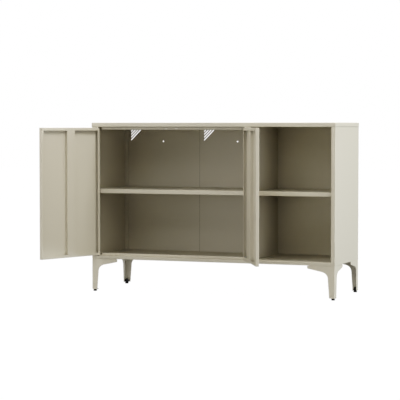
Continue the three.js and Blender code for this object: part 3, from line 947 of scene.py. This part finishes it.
def leg_shell(end, side, context):
    """The folded L of a leg."""
    sheet = context.scene.sideboard_sheet
    low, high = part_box(f"leg_{end}_{side}")
    outline = leg_outline(low, high, context.scene.sideboard_leg)
    bm = bmesh.new()
    face_towards(bm, [(d, 0, z) for d, z in outline], (0, -1, 0))
    face_towards(bm, [(0, d, z) for d, z in outline], (-1, 0, 0))
    round_folds(bm, sheet.leg_fold, sheet.fold_steps)
    piece = new_piece(
        f"{end}_{side}_leg_sheet", bm, "carcass", "powder_coat", [f"leg_{end}_{side}"],
        leg_place(end, side))
    return settle(piece, (), sheet.leg_sheet, 0.25 * MM)


def leg_plate(end, side, context):
    """The mounting plate at a leg's top, with a strip behind each shoulder's upper edge."""
    sheet = context.scene.sideboard_sheet
    reach = context.scene.sideboard_leg.plate
    low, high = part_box(f"leg_{end}_{side}")
    place = leg_place(end, side)
    t = sheet.leg_sheet
    inside = t + 0.05 * MM
    far = high.x - low.x - 6 * MM
    strip = inside + 8 * MM
    shape = [(inside, inside), (far, inside), (far, strip), (reach, strip), (reach, reach / 2),
             (reach / 2, reach), (strip, reach), (strip, far), (inside, far)]
    plate = new_piece(
        f"{end}_{side}_leg_mounting_plate", upright_prism(shape, high.z - t, high.z),
        "carcass", "powder_coat", (), place)
    holes = []
    for i in (1, 2):
        screw = middle_of(f"leg_screw_{end}_{side}_{i}")
        holes.append(round_cutter(screw, high.z - 2 * t, high.z + t, 3.3 * MM))
    settle(plate, holes)


def leg_screw(end, side, i):
    """A pan-head screw with a hexagon recess."""
    node = f"leg_screw_{end}_{side}_{i}"
    low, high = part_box(node)
    centre = middle_of(node)
    head, shank = 5.5 * MM, SCREW_SHANK
    under = low.z + 3.5 * MM
    crown = [(head * math.sin(a), low.z + 2.2 * MM * (1 - math.cos(a)))
             for a in (math.radians(15 * k) for k in range(1, 6))]
    profile = [(0, low.z), *crown, (head, low.z + 2.2 * MM), (head, under), (shank, under),
               (shank, high.z - 0.6 * MM), (shank - 0.6 * MM, high.z), (0, high.z)]
    piece = new_piece(
        f"{end}_{side}_leg_screw_{i}", turned(profile, centre, 36), "carcass", "zinc_steel",
        [node])
    recess = round_cutter(centre, low.z - MM, low.z + 2 * MM, 2.3 * MM, 6)
    settle(piece, [recess], 0, 0.1 * MM)


class SIDEBOARD_OT_legs(bpy.types.Operator):
    """Builds the four folded legs, their mounting plates and their screws"""

    bl_idname = "sideboard.legs"
    bl_label = "Legs"

    def execute(self, context):
        for end in ENDS:
            for side in SIDES:
                leg_shell(end, side, context)
                leg_plate(end, side, context)
                coat_node(f"leg_bracket_{end}_{side}")
                for i in (1, 2):
                    leg_screw(end, side, i)
        return {"FINISHED"}


def levelling_foot(end, side, context):
    """A fluted levelling pad on its stud."""
    node = f"levelling_foot_{end}_{side}"
    low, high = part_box(node)
    centre = middle_of(node)
    r, stud, pad = (high.x - low.x) / 2, STUD_RADIUS, 8.7 * MM
    flutes = context.scene.sideboard_leg.flutes
    profile = [(0, 0), (r - 1.4 * MM, 0), (r - 0.5 * MM, 0.35 * MM), (r, 1.2 * MM),
               (r, 5 * MM), (r - 0.35 * MM, 5.9 * MM), (r - 1.5 * MM, pad), (0, pad)]
    profile = [(radius, low.z + z) for radius, z in profile]
    pad_bm = turned(profile, centre, flutes * 6, flutes, 0.25 * MM)
    smooth(new_piece(
        f"{end}_{side}_foot_pad", pad_bm, f"foot_{end}_{side}", "black_plastic", [node]), 40)
    base = low.z + pad + 0.02 * MM
    thread = [(0, base), (stud, base)]
    pitch = 1.25 * MM
    turns = int((high.z - base) / pitch) - 1
    for k in range(turns):
        z = base + (k + 1) * pitch
        thread += [(stud, z - 0.3 * MM), (stud - 0.5 * MM, z), (stud, z + 0.3 * MM)]
    thread += [(stud, high.z - 0.6 * MM), (stud - 0.6 * MM, high.z), (0, high.z)]
    smooth(new_piece(
        f"{end}_{side}_foot_stud", turned(thread, centre, 28), f"foot_{end}_{side}",
        "black_plastic"), 30)


def foot_socket(end, side):
    """The plastic insert in a leg's lower end: a square plate with a boss for the stud."""
    node = f"foot_socket_{end}_{side}"
    low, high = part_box(node)
    centre = middle_of(f"levelling_foot_{end}_{side}")
    bore, foot, crown, plate = INSERT_BORE, 7.4 * MM, 6.8 * MM, 1.5 * MM
    square = [(low.x, low.y), (high.x, low.y), (high.x, high.y), (low.x, high.y)]
    piece = new_piece(
        f"{end}_{side}_insert_plate", upright_prism(square, low.z, low.z + plate),
        "carcass", "black_plastic", [node])
    settle(piece, [round_cutter(centre, low.z - plate, low.z + 2 * plate, bore)], 0, 0.25 * MM)
    base = low.z + plate + 0.02 * MM
    soft = 0.5 * MM
    profile = [(bore, base), (foot + soft, base), (foot, base + soft), (crown, high.z - soft),
               (crown - soft, high.z), (bore, high.z)]
    boss = turned(profile, centre, 48)
    smooth(new_piece(f"{end}_{side}_insert_boss", boss, "carcass", "black_plastic"), 40)


class SIDEBOARD_OT_feet(bpy.types.Operator):
    """Builds the levelling feet and the inserts that they screw into"""

    bl_idname = "sideboard.feet"
    bl_label = "Levelling Feet"

    def execute(self, context):
        for end in ENDS:
            for side in SIDES:
                levelling_foot(end, side, context)
                foot_socket(end, side)
        return {"FINISHED"}


# Stage.

def carcass_centre():
    """Centre of the carcass's footprint, on the floor."""
    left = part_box("left_side_panel")[0]
    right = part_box("right_side_panel")[1]
    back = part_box("back_sheet_left")[1]
    return Vector(((left.x + right.x) / 2, (left.y + back.y) / 2, 0))


def studio_floor(centre):
    """A broad pale floor that glows evenly, so that no lamp leaves a mark on it."""
    bm = bmesh.new()
    bmesh.ops.create_grid(bm, x_segments=2, y_segments=2, size=20)
    bm.transform(Matrix.Translation(centre - UP * 0.2 * MM))
    mesh = bpy.data.meshes.new("studio_floor")
    bm.to_mesh(mesh)
    bm.free()
    material, tree, shader, coords = finish_base("studio_floor")
    drifting_colour(tree, shader, coords, (0.01, 0.01, 0.01), 0.05, 2.0)
    shader.inputs["Roughness"].default_value = 1.0
    shader.inputs["Specular IOR Level"].default_value = 0.0
    shader.inputs["Emission Color"].default_value = (1, 1, 1, 1)
    shader.inputs["Emission Strength"].default_value = 1.0
    mesh.materials.append(material)
    floor = bpy.data.objects.new("studio_floor", mesh)
    floor.visible_diffuse = False
    floor.visible_shadow = False
    floor.visible_glossy = False
    bpy.context.scene.collection.objects.link(floor)


def softbox(stage, centre, name, across, above, share):
    """A square area light that faces the cabinet's middle."""
    data = bpy.data.lights.new(name, "AREA")
    data.shape = "SQUARE"
    data.size = stage.lamp_size
    data.energy = stage.lamp_power * share
    data.color = stage.cool if across > 100 else stage.warm
    light = bpy.data.objects.new(name, data)
    bpy.context.scene.collection.objects.link(light)
    aim = centre + UP * 0.45
    turn, rise = math.radians(across), math.radians(above)
    away = Vector((math.sin(turn) * math.cos(rise), -math.cos(turn) * math.cos(rise),
                   math.sin(rise)))
    light.location = aim + away * stage.lamp_distance
    light.rotation_mode = "QUATERNION"
    light.rotation_quaternion = (-away).to_track_quat("-Z", "Y")


def shown_tones(scene):
    """Sets the view's tone curve."""
    view = scene.view_settings
    view.view_transform = "Standard"
    view.use_curve_mapping = True
    curve = view.curve_mapping.curves[3]
    for seen, shown in TONES:
        curve.points.new(seen, shown)
    view.curve_mapping.update()


def studio_world(stage):
    """A plain backdrop for the camera, and a soft light from above for the object."""
    world = bpy.data.worlds.new("studio")
    bpy.context.scene.world = world
    world.use_nodes = True
    tree = world.node_tree
    tree.nodes.clear()
    seen = add_node(tree, "ShaderNodeLightPath", (-600, 200))
    shown = add_node(tree, "ShaderNodeBackground", (-300, 100), Strength=1.0)
    shown.inputs["Color"].default_value = (*stage.backdrop, 1)
    felt = add_node(tree, "ShaderNodeBackground", (-300, -100))
    felt.inputs["Color"].default_value = (*stage.warm, 1)
    coords = add_node(tree, "ShaderNodeTexCoord", (-1100, -100))
    parts = add_node(tree, "ShaderNodeSeparateXYZ", (-900, -100))
    above = add_node(tree, "ShaderNodeMath", (-700, -100))
    above.operation = "GREATER_THAN"
    above.inputs[1].default_value = 0
    sky = add_node(tree, "ShaderNodeMath", (-500, -100))
    sky.operation = "MULTIPLY"
    sky.inputs[1].default_value = stage.ambient
    tree.links.new(coords.outputs["Generated"], parts.inputs["Vector"])
    tree.links.new(parts.outputs["Z"], above.inputs[0])
    tree.links.new(above.outputs["Value"], sky.inputs[0])
    tree.links.new(sky.outputs["Value"], felt.inputs["Strength"])
    mix = add_node(tree, "ShaderNodeMixShader", (0, 0))
    output = add_node(tree, "ShaderNodeOutputWorld", (300, 0))
    tree.links.new(seen.outputs["Is Camera Ray"], mix.inputs[0])
    tree.links.new(felt.outputs["Background"], mix.inputs[1])
    tree.links.new(shown.outputs["Background"], mix.inputs[2])
    tree.links.new(mix.outputs["Shader"], output.inputs["Surface"])


def stage_camera(stage, centre):
    """The camera at the stage's eye point."""
    data = bpy.data.cameras.new("camera")
    data.sensor_width = 36
    data.lens = stage.lens
    data.clip_end = 100
    camera = bpy.data.objects.new("camera", data)
    bpy.context.scene.collection.objects.link(camera)
    camera.location = centre + Vector(stage.eye)
    camera.rotation_euler = (math.pi / 2 - stage.tilt, 0, stage.turn)
    bpy.context.scene.camera = camera


class SIDEBOARD_OT_stage(bpy.types.Operator):
    """Sets the floor, the studio lights and the camera"""

    bl_idname = "sideboard.stage"
    bl_label = "Stage"

    def execute(self, context):
        stage = context.scene.sideboard_stage
        centre = carcass_centre()
        shown_tones(context.scene)
        stage_camera(stage, centre)
        studio_world(stage)
        studio_floor(centre)
        for lamp in LAMPS:
            softbox(stage, centre, *lamp)
        return {"FINISHED"}


class SIDEBOARD_PT_panel(bpy.types.Panel):
    """Lists the sideboard's builders and settings"""

    bl_label = "Metal Sideboard"
    bl_space_type = "VIEW_3D"
    bl_region_type = "UI"
    bl_category = "Sideboard"

    def draw(self, context):
        for group in GROUPS:
            box = self.layout.box()
            settings = getattr(context.scene, group)
            for name in settings.__annotations__:
                box.prop(settings, name)
        for operator in OPERATORS:
            self.layout.operator(operator.bl_idname)


GROUPS = {
    "sideboard_coat": CoatSettings,
    "sideboard_sheet": SheetSettings,
    "sideboard_panel": PanelSettings,
    "sideboard_leg": LegSettings,
    "sideboard_stage": StageSettings,
}
OPERATORS = (
    SIDEBOARD_OT_stage,
    SIDEBOARD_OT_top_panel,
    SIDEBOARD_OT_bottom_panel,
    SIDEBOARD_OT_uprights,
    SIDEBOARD_OT_backs,
    SIDEBOARD_OT_shelves,
    SIDEBOARD_OT_doors,
    SIDEBOARD_OT_hinges,
    SIDEBOARD_OT_legs,
    SIDEBOARD_OT_feet,
)


def register():
    """Registers the settings, operators and panel."""
    for name, group in GROUPS.items():
        bpy.utils.register_class(group)
        setattr(bpy.types.Scene, name, PointerProperty(type=group))
    for operator in OPERATORS:
        bpy.utils.register_class(operator)
    bpy.utils.register_class(SIDEBOARD_PT_panel)


def unregister():
    """Takes them away again."""
    bpy.utils.unregister_class(SIDEBOARD_PT_panel)
    for operator in reversed(OPERATORS):
        bpy.utils.unregister_class(operator)
    for name, group in reversed(GROUPS.items()):
        delattr(bpy.types.Scene, name)
        bpy.utils.unregister_class(group)


def main():
    """Builds every piece in order."""
    register()
    for operator in OPERATORS:
        family, action = operator.bl_idname.split(".")
        getattr(getattr(bpy.ops, family), action)()


if __name__ == "__main__":
    main()
